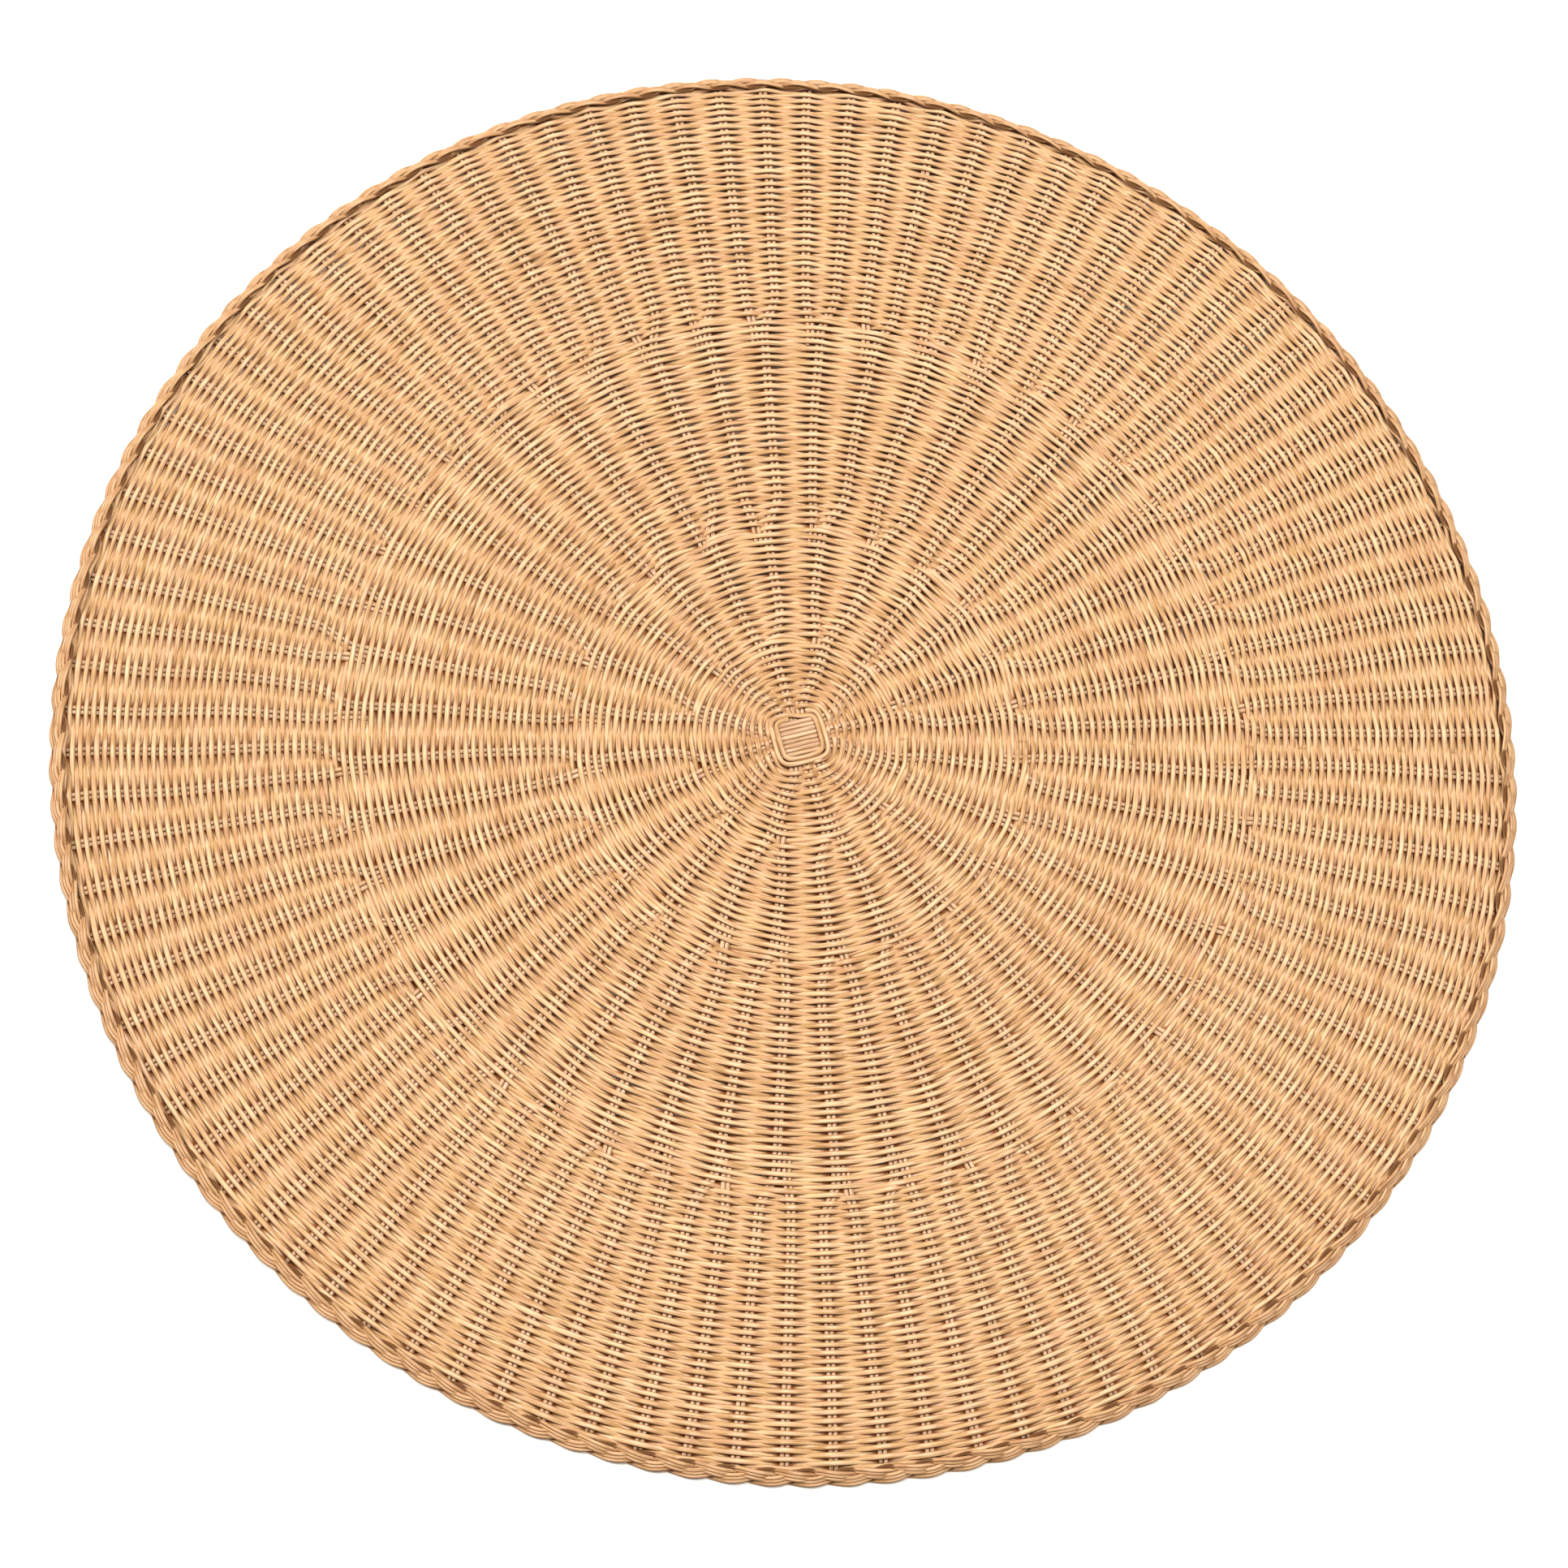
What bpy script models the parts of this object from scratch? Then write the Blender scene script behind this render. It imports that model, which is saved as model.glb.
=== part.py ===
"""Round hand-woven rattan seat pad.

A cross of base rods lies in the middle.  A binding holds it, and the rods fan out from it as stakes.
The spaces between the stakes widen towards the edge, so more stakes are inserted where each woven
zone begins.  A rolled border closes the edge, and the pad rests on its flat underside.

Metres, +Z up.  The origin is on the ground, under the middle of the pad.
"""
import math

import bmesh
import bpy
from mathutils import Vector

# Driving dimensions
OVERALL_DIAMETER = 0.450
STAKE = 0.0013              # diameter of a rod of the frame
WEAVER = 0.00125            # diameter of the strand woven over and under the stakes
GAP = 0.0002                # clearance between neighbouring pieces
CROWN = 0.005               # rise of the stakes from the edge to the middle
BORDER_WIDTH = 0.004
BORDER_HEIGHT = 0.005
RODS_EACH_WAY = 8           # rods of the cross, in each of its two layers
GROUP_SIZES = (3, 2, 3)     # how the rods of one arm share out into groups
OPENING = 0.014             # radial length over which two stakes part after a split
GRIP = 0.006                # length of an inserted stake held by the zone before it
SPLIT_SHARES = (0.145, 0.31, 0.62)  # where the stakes double, as shares of the weave's radius

# Worked out from them
OUTER_RADIUS = OVERALL_DIAMETER / 2
BORDER_INNER_RADIUS = OUTER_RADIUS - BORDER_WIDTH
WEAVE_RADIUS = BORDER_INNER_RADIUS - 2 * GAP
PITCH = STAKE + GAP                     # room that one rod takes beside the next
INSERT_OFFSET = 2 * PITCH               # an inserted stake starts this far beside the old ones' line
TUNNEL_HEIGHT = STAKE + 2 * GAP
HALF_WEAVE = STAKE / 2 + WEAVER         # from the stakes' middle to the weave's face
HALF_BINDING = STAKE + WEAVER - 2 * GAP
EDGE_HEIGHT = BORDER_HEIGHT - HALF_WEAVE  # height of the stakes' middle at the edge
LAYER_OFFSET = PITCH / 2                # the cross's two layers lie this far above and below
CROSS_HALF_WIDTH = RODS_EACH_WAY * PITCH / 2
BINDING_INNER = CROSS_HALF_WIDTH + 2 * GAP
BINDING_OUTER = BINDING_INNER + 2 * WEAVER
BINDING_CORNER_RADIUS = 0.004
FAN_START = BINDING_OUTER + 2 * GAP
FAN_END = 0.018
FAN_TURN = math.radians(43)             # how far the outer groups turn as they leave the cross
ZONE_1_START = 0.0135
SPLITS = [share * WEAVE_RADIUS for share in SPLIT_SHARES]

ARMS = 4
GROUPS = ARMS * len(GROUP_SIZES)
GROUP_STEP = 2 * math.pi / GROUPS
HALF_STEPS = [GROUP_STEP / 2 ** (level + 2) for level in range(len(SPLITS))]
ROD_SIDES = 6
RING_SEGMENTS = 96
TUNNEL_OVERRUN = 0.001      # how far a tunnel's cutter runs past the face it opens

STAKE_COLOUR = (0.80, 0.60, 0.38, 1.0)
WEAVER_COLOUR = (0.74, 0.50, 0.28, 1.0)
BORDER_COLOUR = (0.66, 0.40, 0.20, 1.0)
RATTAN_ROUGHNESS = 0.55


def clear_scene():
    for item in list(bpy.data.objects):
        bpy.data.objects.remove(item, do_unlink=True)


def rattan_material(name, colour):
    material = bpy.data.materials.new(name + "_rattan")
    material.use_nodes = True
    shader = material.node_tree.nodes["Principled BSDF"]
    shader.inputs["Base Color"].default_value = colour
    shader.inputs["Roughness"].default_value = RATTAN_ROUGHNESS
    shader.inputs["Metallic"].default_value = 0.0
    return material


def add_object(name, bm, colour=None, collection=None):
    """Turn a bmesh into an object; without a colour it is a cutter."""
    bmesh.ops.recalc_face_normals(bm, faces=bm.faces)
    mesh = bpy.data.meshes.new(name)
    bm.to_mesh(mesh)
    bm.free()
    item = bpy.data.objects.new(name, mesh)
    (collection or bpy.context.scene.collection).objects.link(item)
    if colour:
        mesh.materials.append(rattan_material(name, colour))
    else:
        item.hide_render = True
        item.display_type = "WIRE"
    return item


def stake_height(radius):
    """Height of the stakes' middle: a shallow dome."""
    return EDGE_HEIGHT + CROWN * (1 - (radius / WEAVE_RADIUS) ** 2)


def stake_point(radius, angle, lateral):
    """A point at a radius along a spoke's direction, moved sideways from the spoke's line."""
    along = Vector((math.cos(angle), math.sin(angle), 0))
    across = Vector((-math.sin(angle), math.cos(angle), 0))
    point = along * radius + across * lateral
    point.z = stake_height(radius)
    return point


def rod_section(width):
    """Outline of a rod, or of rods side by side, as (across, up) offsets."""
    half_flat = (width - STAKE) / 2
    outline = []
    for i in range(ROD_SIDES):
        turn = 2 * math.pi * i / ROD_SIDES
        across = math.cos(turn) * STAKE / 2
        outline.append((across + math.copysign(half_flat, across), math.sin(turn) * STAKE / 2))
    return outline


def tunnel_section(width):
    half_width = width / 2 + GAP
    half_height = TUNNEL_HEIGHT / 2
    return [(half_width, -half_height), (half_width, half_height),
            (-half_width, half_height), (-half_width, -half_height)]


def sweep(path, section):
    """A closed bmesh: the section carried along the path, mitred at its corners."""
    bm = bmesh.new()
    flat = [Vector((p.x, p.y)) for p in path]
    runs = [(b - a).normalized() for a, b in zip(flat, flat[1:])]
    rings = []
    for i, point in enumerate(path):
        before = runs[max(i - 1, 0)]
        after = runs[min(i, len(runs) - 1)]
        bisector = (before + after).normalized()
        mitre = 1 / bisector.dot(after)
        side = Vector((-bisector.y, bisector.x, 0)) * mitre
        rings.append([bm.verts.new(point + side * across + Vector((0, 0, up))) for across, up in section])
    count = len(section)
    for ring, following in zip(rings, rings[1:]):
        for k in range(count):
            bm.faces.new((ring[k], ring[(k + 1) % count], following[(k + 1) % count], following[k]))
    bm.faces.new(rings[0])
    bm.faces.new(rings[-1])
    return bm


def add_rod(name, path, rods=1):
    item = add_object(name, sweep(path, rod_section(rods * PITCH - GAP)), STAKE_COLOUR)
    item.data.shade_smooth()
    item.data.set_sharp_from_angle(angle=math.radians(70))
    return item


def spoke_stations(angle, first_level, side_offset):
    """Path points of a stake from the end of one split to the border.

    At every later split the stake that was there first gives way clockwise.
    """
    points = []
    for level in range(first_level, len(SPLITS)):
        points.append((SPLITS[level], angle, side_offset))
        angle -= HALF_STEPS[level]
        points.append((SPLITS[level] + OPENING, angle, side_offset))
    points.append((WEAVE_RADIUS, angle, side_offset))
    return points


def group_angle(group):
    """Groups lie evenly round the pad; group 1 is the middle one of the +X arm."""
    return (group - 1) * GROUP_STEP


def arm_layer(arm):
    """The X arms lie in the upper layer of the cross, the Y arms in the lower one."""
    return 1 if arm % 2 == 0 else -1


def fan_bend(lateral, rank, layer):
    """Where a rod of the +X arm turns out of the cross; the outermost rods turn first."""
    stagger = rank * PITCH * math.tan(FAN_TURN / 2)
    return Vector((FAN_START + stagger, lateral, stake_height(0) + layer * LAYER_OFFSET))


def place_in_arm(rod):
    """The group that a rod of an arm belongs to, and its place in it, clockwise side first."""
    group, place = 0, rod
    while place >= GROUP_SIZES[group]:
        place -= GROUP_SIZES[group]
        group += 1
    return group, place


def bend_rank(group, place):
    if group == 0:
        return place
    if group == len(GROUP_SIZES) - 1:
        return GROUP_SIZES[group] - 1 - place
    return 0


def arm_path(rod, layer):
    """One arm of a base rod, along +X, from the binding to the border."""
    group, place = place_in_arm(rod)
    angle = group_angle(group)
    early = (place - (GROUP_SIZES[group] - 1) / 2) * PITCH
    stations = [(FAN_END, angle, early), (SPLITS[0], angle, early)]
    pair_side = -1 if place < 2 else 1
    in_pair = (place - 0.5) * PITCH if place < 2 else -PITCH / 2
    angle += pair_side * HALF_STEPS[0]
    stations.append((SPLITS[0] + OPENING, angle, in_pair))
    stations += spoke_stations(angle, 1, in_pair)
    lateral = (rod - (RODS_EACH_WAY - 1) / 2) * PITCH
    return [fan_bend(lateral, bend_rank(group, place), layer)] + [stake_point(*s) for s in stations]


def turned(path, angle):
    cosine, sine = math.cos(angle), math.sin(angle)
    return [Vector((p.x * cosine - p.y * sine, p.x * sine + p.y * cosine, p.z)) for p in path]


def add_base_rod(name, rod, arm):
    """A rod right through the cross: the far arm, mirrored through the middle, then the near arm."""
    layer = arm_layer(arm)
    ahead = arm_path(rod, layer)
    behind = turned(arm_path(RODS_EACH_WAY - 1 - rod, layer), math.pi)
    add_rod(name, turned(list(reversed(behind)) + ahead, arm * math.pi / 2))


def build_base_rods():
    for rod in range(RODS_EACH_WAY):
        add_base_rod(f"base_rod_x_{rod + 1}", rod, 0)
        add_base_rod(f"base_rod_y_{rod + 1}", rod, 1)


def joining_rods(group):
    """How many rods join a group at the first split, to make two pairs of it."""
    return 4 - GROUP_SIZES[group % len(GROUP_SIZES)]


def build_first_stakes():
    """The stakes inserted at the first split: one beside each group of three, two beside each pair."""
    for group in range(GROUPS):
        joining = joining_rods(group)
        in_pair = PITCH / 2 if joining == 1 else 0.0
        angle = group_angle(group)
        stations = [(SPLITS[0] - GRIP, angle, INSERT_OFFSET), (SPLITS[0], angle, INSERT_OFFSET)]
        angle += HALF_STEPS[0]
        stations.append((SPLITS[0] + OPENING, angle, in_pair))
        stations += spoke_stations(angle, 1, in_pair)
        add_rod(f"stake_1_{group + 1:02d}", [stake_point(*s) for s in stations], joining)


def pair_angles(level):
    """Angles of the pairs that lie in the zone before a split."""
    angles = [group_angle(group) for group in range(GROUPS)]
    for half_step in HALF_STEPS[:level]:
        angles = [angle + side * half_step for angle in angles for side in (-1, 1)]
    return angles


def build_second_stakes():
    """A pair of stakes inserted beside each pair at the second split."""
    for number, angle in enumerate(pair_angles(1), 1):
        stations = [(SPLITS[1] - GRIP, angle, INSERT_OFFSET), (SPLITS[1], angle, INSERT_OFFSET)]
        angle += HALF_STEPS[1]
        stations.append((SPLITS[1] + OPENING, angle, 0.0))
        stations += spoke_stations(angle, 2, 0.0)
        add_rod(f"stake_pair_2_{number:02d}", [stake_point(*s) for s in stations], 2)


def ring_bmesh(profile, segments):
    """A closed ring turned about Z from (radius, height) points that go once round its section."""
    bm = bmesh.new()
    rings = []
    for k in range(segments):
        angle = 2 * math.pi * k / segments
        rings.append([bm.verts.new((r * math.cos(angle), r * math.sin(angle), z)) for r, z in profile])
    count = len(profile)
    for k, ring in enumerate(rings):
        following = rings[(k + 1) % segments]
        for i in range(count):
            bm.faces.new((ring[i], ring[(i + 1) % count], following[(i + 1) % count], following[i]))
    return bm


def zone_profile(radii):
    top = [(r, stake_height(r) + HALF_WEAVE) for r in radii]
    bottom = [(r, stake_height(r) - HALF_WEAVE) for r in reversed(radii)]
    return top + bottom


def add_tunnel(collection, stations, rods):
    path = [stake_point(*station) for station in stations]
    name = f"{collection.name}_cutter_{len(collection.objects) + 1:02d}"
    add_object(name, sweep(path, tunnel_section(rods * PITCH - GAP)), collection=collection)


def cut_tunnels(item, collection):
    cut = item.modifiers.new("stake_tunnels", "BOOLEAN")
    cut.operation = "DIFFERENCE"
    cut.operand_type = "COLLECTION"
    cut.collection = collection
    cut.solver = "EXACT"


def new_cutters(name):
    collection = bpy.data.collections.new(name)
    bpy.context.scene.collection.children.link(collection)
    return collection


def add_zone(number, radii, segments, cutters):
    name = f"weave_zone_{number}"
    zone = add_object(name, ring_bmesh(zone_profile(radii), segments), WEAVER_COLOUR)
    cut_tunnels(zone, cutters)
    return zone


def add_pockets(collection, level):
    """Room beside each pair for the tips of the stakes inserted at the coming split."""
    start = SPLITS[level] - GRIP - 2 * GAP
    end = SPLITS[level] + TUNNEL_OVERRUN
    for number, angle in enumerate(pair_angles(level)):
        rods = joining_rods(number) if level == 0 else 2
        add_tunnel(collection, [(start, angle, INSERT_OFFSET), (end, angle, INSERT_OFFSET)], rods)


def build_zone_1():
    cutters = new_cutters("zone_1_tunnels")
    for number in range(GROUPS):
        arm, group = divmod(number, len(GROUP_SIZES))
        size = GROUP_SIZES[group]
        middle_place = (size - 1) / 2
        lateral = (sum(GROUP_SIZES[:group]) + middle_place - (RODS_EACH_WAY - 1) / 2) * PITCH
        rank = 0 if group == 1 else middle_place
        angle = group_angle(group)
        path = [fan_bend(lateral, rank, arm_layer(arm)), stake_point(FAN_END, angle, 0.0)]
        path.append(stake_point(SPLITS[0] + TUNNEL_OVERRUN, angle, 0.0))
        cutter = sweep(turned(path, arm * math.pi / 2), tunnel_section(size * PITCH - GAP))
        add_object(f"zone_1_cutter_{number + 1:02d}", cutter, collection=cutters)
    add_pockets(cutters, 0)
    add_zone(1, [ZONE_1_START, FAN_END, SPLITS[0] - GAP], RING_SEGMENTS // 2, cutters)


def build_zone_2():
    cutters = new_cutters("zone_2_tunnels")
    for group in range(GROUPS):
        shift = -PITCH / 2 if joining_rods(group) == 1 else 0.0
        for side, early in ((-1, shift), (1, INSERT_OFFSET + shift)):
            angle = group_angle(group)
            stations = [(SPLITS[0] - TUNNEL_OVERRUN, angle, early), (SPLITS[0], angle, early)]
            angle += side * HALF_STEPS[0]
            stations.append((SPLITS[0] + OPENING, angle, 0.0))
            stations.append((SPLITS[1] + TUNNEL_OVERRUN, angle, 0.0))
            add_tunnel(cutters, stations, 2)
    add_pockets(cutters, 1)
    add_zone(2, [SPLITS[0], SPLITS[0] + OPENING, SPLITS[1] - GAP], RING_SEGMENTS // 2, cutters)


def build_zone_3():
    cutters = new_cutters("zone_3_tunnels")
    for parent in pair_angles(1):
        for side, early in ((-1, 0.0), (1, INSERT_OFFSET)):
            angle = parent + side * HALF_STEPS[1]
            stations = [(SPLITS[1] - TUNNEL_OVERRUN, parent, early), (SPLITS[1], parent, early)]
            stations.append((SPLITS[1] + OPENING, angle, 0.0))
            stations.append((SPLITS[2] + TUNNEL_OVERRUN, angle, 0.0))
            add_tunnel(cutters, stations, 2)
    add_zone(3, [SPLITS[1], SPLITS[1] + OPENING, SPLITS[2] - GAP], RING_SEGMENTS // 2, cutters)


def build_zone_4():
    cutters = new_cutters("zone_4_tunnels")
    for parent in pair_angles(2):
        angle = parent - HALF_STEPS[2]
        stations = [(SPLITS[2] - TUNNEL_OVERRUN, parent, 0.0), (SPLITS[2], parent, 0.0)]
        stations.append((SPLITS[2] + OPENING, angle, 0.0))
        stations.append((WEAVE_RADIUS + TUNNEL_OVERRUN, angle, 0.0))
        add_tunnel(cutters, stations, 2)
    add_zone(4, [SPLITS[2], SPLITS[2] + OPENING, WEAVE_RADIUS], RING_SEGMENTS, cutters)


def rounded_square(half_width, corner_radius, steps=4):
    outline = []
    for quarter in range(ARMS):
        start = quarter * math.pi / 2
        middle = start + math.pi / 4
        centre = Vector((math.cos(middle), math.sin(middle))) * (half_width - corner_radius) * math.sqrt(2)
        for step in range(steps + 1):
            turn = start + step / steps * math.pi / 2
            outline.append(centre + Vector((math.cos(turn), math.sin(turn))) * corner_radius)
    return outline


def build_binding():
    """The strands bound round the cross: a rounded square ring that the four arms pass through."""
    cutters = new_cutters("binding_tunnels")
    for arm in range(ARMS):
        angle = arm * math.pi / 2
        layer = arm_layer(arm)
        reach = (BINDING_INNER - TUNNEL_OVERRUN, BINDING_OUTER + TUNNEL_OVERRUN)
        path = [Vector((r * math.cos(angle), r * math.sin(angle), 0)) for r in reach]
        for point in path:
            point.z = stake_height(0) + layer * LAYER_OFFSET
        section = tunnel_section(RODS_EACH_WAY * PITCH - GAP)
        add_object(f"binding_cutter_{arm + 1}", sweep(path, section), collection=cutters)
    bm = bmesh.new()
    rings = []
    for half_width, side in ((BINDING_OUTER, 1), (BINDING_INNER, 1), (BINDING_INNER, -1), (BINDING_OUTER, -1)):
        corner = BINDING_CORNER_RADIUS - (BINDING_OUTER - half_width)
        height = stake_height(0) + side * HALF_BINDING
        outline = rounded_square(half_width, corner)
        rings.append([bm.verts.new((p.x, p.y, height)) for p in outline])
    count = len(rings[0])
    for i, ring in enumerate(rings):
        following = rings[(i + 1) % len(rings)]
        for k in range(count):
            bm.faces.new((ring[k], ring[(k + 1) % count], following[(k + 1) % count], following[k]))
    binding = add_object("centre_binding", bm, WEAVER_COLOUR)
    cut_tunnels(binding, cutters)


def build_border():
    """The rolled border: a rope of the bent-over stake ends, flat underneath where it rests."""
    inner, outer, top = BORDER_INNER_RADIUS, OUTER_RADIUS, BORDER_HEIGHT
    chamfer = BORDER_WIDTH / 4
    profile = [(inner, top * 0.75), (inner, chamfer), (inner + chamfer * 0.6, 0.0), (outer - chamfer, 0.0),
               (outer, top * 0.3), (outer, top * 0.65), (outer - chamfer, top), (inner + chamfer, top)]
    border = add_object("rolled_border", ring_bmesh(profile, RING_SEGMENTS), BORDER_COLOUR)
    border.data.shade_smooth()
    border.data.set_sharp_from_angle(angle=math.radians(50))


clear_scene()
build_base_rods()
build_first_stakes()
build_second_stakes()
build_binding()
build_zone_1()
build_zone_2()
build_zone_3()
build_zone_4()
build_border()
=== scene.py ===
from collections import namedtuple
import math

import bpy
import numpy as np
from mathutils import Matrix, Vector


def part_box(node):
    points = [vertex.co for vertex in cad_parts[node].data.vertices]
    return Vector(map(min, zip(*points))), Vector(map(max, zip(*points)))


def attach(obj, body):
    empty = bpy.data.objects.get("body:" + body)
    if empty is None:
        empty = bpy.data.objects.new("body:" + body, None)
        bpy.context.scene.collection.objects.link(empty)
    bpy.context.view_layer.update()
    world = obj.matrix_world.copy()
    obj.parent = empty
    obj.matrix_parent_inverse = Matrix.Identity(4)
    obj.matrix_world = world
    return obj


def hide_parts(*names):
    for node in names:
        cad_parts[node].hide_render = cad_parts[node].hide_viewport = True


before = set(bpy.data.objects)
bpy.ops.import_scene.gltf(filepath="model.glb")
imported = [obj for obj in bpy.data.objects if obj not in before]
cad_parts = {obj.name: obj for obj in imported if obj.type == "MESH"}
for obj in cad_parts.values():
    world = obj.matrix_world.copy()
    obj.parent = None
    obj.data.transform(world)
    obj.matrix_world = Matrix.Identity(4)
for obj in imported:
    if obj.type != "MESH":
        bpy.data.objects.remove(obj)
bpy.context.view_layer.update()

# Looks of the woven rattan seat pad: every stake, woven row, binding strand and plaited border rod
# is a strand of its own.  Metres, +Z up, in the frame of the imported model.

RANDOM = np.random.default_rng(7)
SPARE = 4                                   # random values to spare past a strand's end

# A slow random change along a strand: the distance from one value to the next, and their size
Drift = namedtuple("Drift", "wavelength size")

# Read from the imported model
ZONES = [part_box(f"weave_zone_{number}") for number in (1, 2, 3, 4)]
WEAVE_RADIUS = ZONES[-1][1][0]
SPLIT_RADII = [zone[1][0] for zone in ZONES[:-1]]
BINDING_HALF_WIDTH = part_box("centre_binding")[1][0]
PAD_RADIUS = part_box("rolled_border")[1][0]
BORDER_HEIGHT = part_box("rolled_border")[1][2]
HALF_WEAVE = 0.0019                         # from the stakes' middle to the face of a CAD zone
EDGE_HEIGHT = ZONES[-1][0][2] + HALF_WEAVE
CENTRE_HEIGHT = ZONES[0][1][2] - HALF_WEAVE
WEAVE_END = WEAVE_RADIUS + 0.0012           # the rows and stakes run on to here, under the border

# The frame of stakes
ROD_RADIUS = 0.00073
ROD_THICKNESS_DRIFT = Drift(0.03, 0.025)
ROD_STEP = 0.003                            # from one point of a rod to the next
ROD_TONES = (0.0, 1.0)
PITCH = 0.0015                              # room that one rod takes beside the next
CROSS_PITCH = 0.00138                       # and in the cross, where the binding holds them tight
RODS_EACH_WAY = 8
GROUP_SIZES = (3, 2, 3)                     # how the rods of one arm share out into groups
ARMS = 4
GROUPS = ARMS * len(GROUP_SIZES)
GROUP_STEP = 2 * math.pi / GROUPS
PAIR = 2                                    # rods in a pair
PAIR_WIDTH = PAIR * PITCH
LEVELS = len(SPLIT_RADII) + 1
OPENING = 0.014                             # radial length over which two pairs of stakes part
OPENING_LEAD = 0.003                        # they start to part this far before the rows divide
SPLIT_SPREAD = 0.003                        # by hand, each pair opens a little early or late
GRIP = 0.006                                # hidden length of an inserted stake
GRIP_SPREAD = 0.001
ARM_START = 0.0015                          # an arm's first point is this far from the cross's middle
FAN_START = 0.0075                          # the arms' rods leave the cross here
FAN_LENGTH = 0.013
LAYER_OFFSET = PITCH / 2                    # the cross's two layers lie this far above and below
LAYER_FADE = 0.009                          # they come together from this radius to twice it
RIM_DROP = 0.0012                           # the last rows bend down to the border
RIM_WIDTH = 0.010
STAKE_DRIFT = 0.00025                       # sideways wander of a pair of stakes
WANDER_START = 0.020                        # the groups wander from here on
WANDER_FADE = 0.050
WANDER_WAVELENGTHS = (0.05, 0.12)

# The table of where the stakes stand at each radius
RADIUS_STEP = 0.0005
TABLE_START = 0.006
TABLE_END = WEAVE_RADIUS + 0.006
RADII = np.arange(TABLE_START, TABLE_END, RADIUS_STEP)

# The woven rows
STRAND_RADIUS = 0.00083
STRAND_FLATNESS = 0.80                      # how high a strand is for its width
STRAND_THICKNESS_DRIFT = Drift(0.025, 0.07)
STRAND_SIDES = 8
TURNS = 87                                  # turns of each of the two weaving strands
FIRST_ROW = BINDING_HALF_WIDTH + 0.0010
STRAND_START = FIRST_ROW - 0.0005           # a weaving strand starts where it clears the binding
ROW = (WEAVE_END - FIRST_ROW) / (2 * TURNS)
ROW_DRIFT = Drift(0.012, 0.00011)
START_ANGLE = -GROUP_STEP / 2
WAVE_HEIGHT = 0.00132                       # a strand passes this far above or below the stakes
WAVE_HEIGHT_DRIFT = Drift(0.02, 0.06)
WAVE_SHARPNESS = 0.965                      # towards 1, the strands run straight from stake to stake
CHORD_PULL = 0.3                            # the rows run a little straighter between stakes
SQUARE_FADE = 0.011                         # the rows turn from rounded square to circle over this
SQUARE_POWER = 4                            # the higher, the sharper the square's corners
MEAN_SQUARE = 1.09                          # mean distance of the square's outline, in half widths
EDGE_WAVE = 0.0004                          # the last rows bulge outwards at every stake
EDGE_WIDTH = 0.004
EDGE_SQUEEZE = 0.35                         # the border presses the last rows flatter
SAMPLES_PER_STAKE = (16, 9, 8, 7)           # points of a row from stake to stake, in each zone
BANDS = (1, 1, 2, 5)                        # pieces that each zone's rows are divided into
CANE_LENGTH = 0.9                           # a weaving strand is joined from lengths of about this
CANE_SPREAD = (0.5, 1.5)                    # the shortest and the longest, as shares of it
WEAVE_TONES = (0.2, 0.8)

# The slow unevenness of hand work, which neighbouring rows share: waves round the pad and outwards
HAND_WAVE_COUNT = 14
HAND_WAVES_AROUND = (2, 24)                 # whole waves in a turn
HAND_WAVES_OUTWARD = (-160, 160)            # radians for each metre
HAND_WAVE_SIZES = (0.00003, 0.00010)
HAND_FADE_IN = 0.06
HAND_FADE_OUT = 0.02

# The binding of the cross
CROSS_HALF_WIDTH = RODS_EACH_WAY * CROSS_PITCH / 2
BINDING_RADIUS = 0.00078
BINDING_STEP = 0.00150                      # from one turn to the next
BINDING_STEP_SHARE = 0.12                   # the last share of a turn, where it steps outwards
BINDING_TURNS = 1.88
BINDING_POWER = 5                           # its square has sharper corners than the rows have
BINDING_START = math.radians(105)
BINDING_LIFT = 0.00142
BINDING_DRIFT = Drift(0.21, 0.00010)        # its wavelength is in turns
BINDING_SAMPLES = 96                        # for each turn
BINDING_TONES = (0.4, 0.8)

# The plaited border
PLAIT_STRANDS = 3
PLAIT_WAVES = 40
PLAIT_SAMPLES = 24                          # for each wave
PLAIT_SWING = 0.0013                        # a strand of the plait swings this far to either side
PLAIT_LIFT = -0.0007                        # and this far up and down, falling first
PLAIT_TILT = math.radians(46)
PLAIT_ROD_RADIUS = 0.00062
PLAIT_ROD_SPREAD = (0.94, 1.06)
PLAIT_ROD_STEP = 0.00112                    # from one rod of a strand to the next
PLAIT_ROD_TONES = (0.0, 1.0)
PLAIT_CENTRE_RADIUS = PAD_RADIUS - 0.0024
PLAIT_CENTRE_HEIGHT = BORDER_HEIGHT / 2 + 0.0003
PLAIT_PAINTED_SHADE_AND_HIGHLIGHT = 1.3                         # how strongly painted shade darkens its strands where they dive, with a painted highlight where they rise

# Marks on the cane.  A mark's noise has a scale in each direction across the strand and one along
# it, in strand radii.  The mark begins to show at the start of its range and is strongest at the
# end, but the patches turn the tone darker towards the start and lighter towards the end.
Mark = namedtuple("Mark", "scale detail start end strength")
GRAIN_PLACES = 50.0                         # each rod takes its grain from a place in this range
PATCHES = Mark(scale=(0.6, 0.6, 0.035), detail=2.0, start=0.3, end=0.7, strength=0.8)
ROSES = Mark(scale=(0.9, 0.9, 0.05), detail=2.0, start=0.42, end=0.66, strength=0.75)
FIBRES = Mark(scale=(2.4, 2.4, 0.07), detail=4.0, start=0.48, end=0.64, strength=0.90)
FLECKS = Mark(scale=(1.3, 1.3, 0.16), detail=2.0, start=0.56, end=0.68, strength=0.8)
SPECKS = Mark(scale=(1.4, 1.4, 0.25), detail=3.0, start=0.66, end=0.78, strength=0.55)
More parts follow.
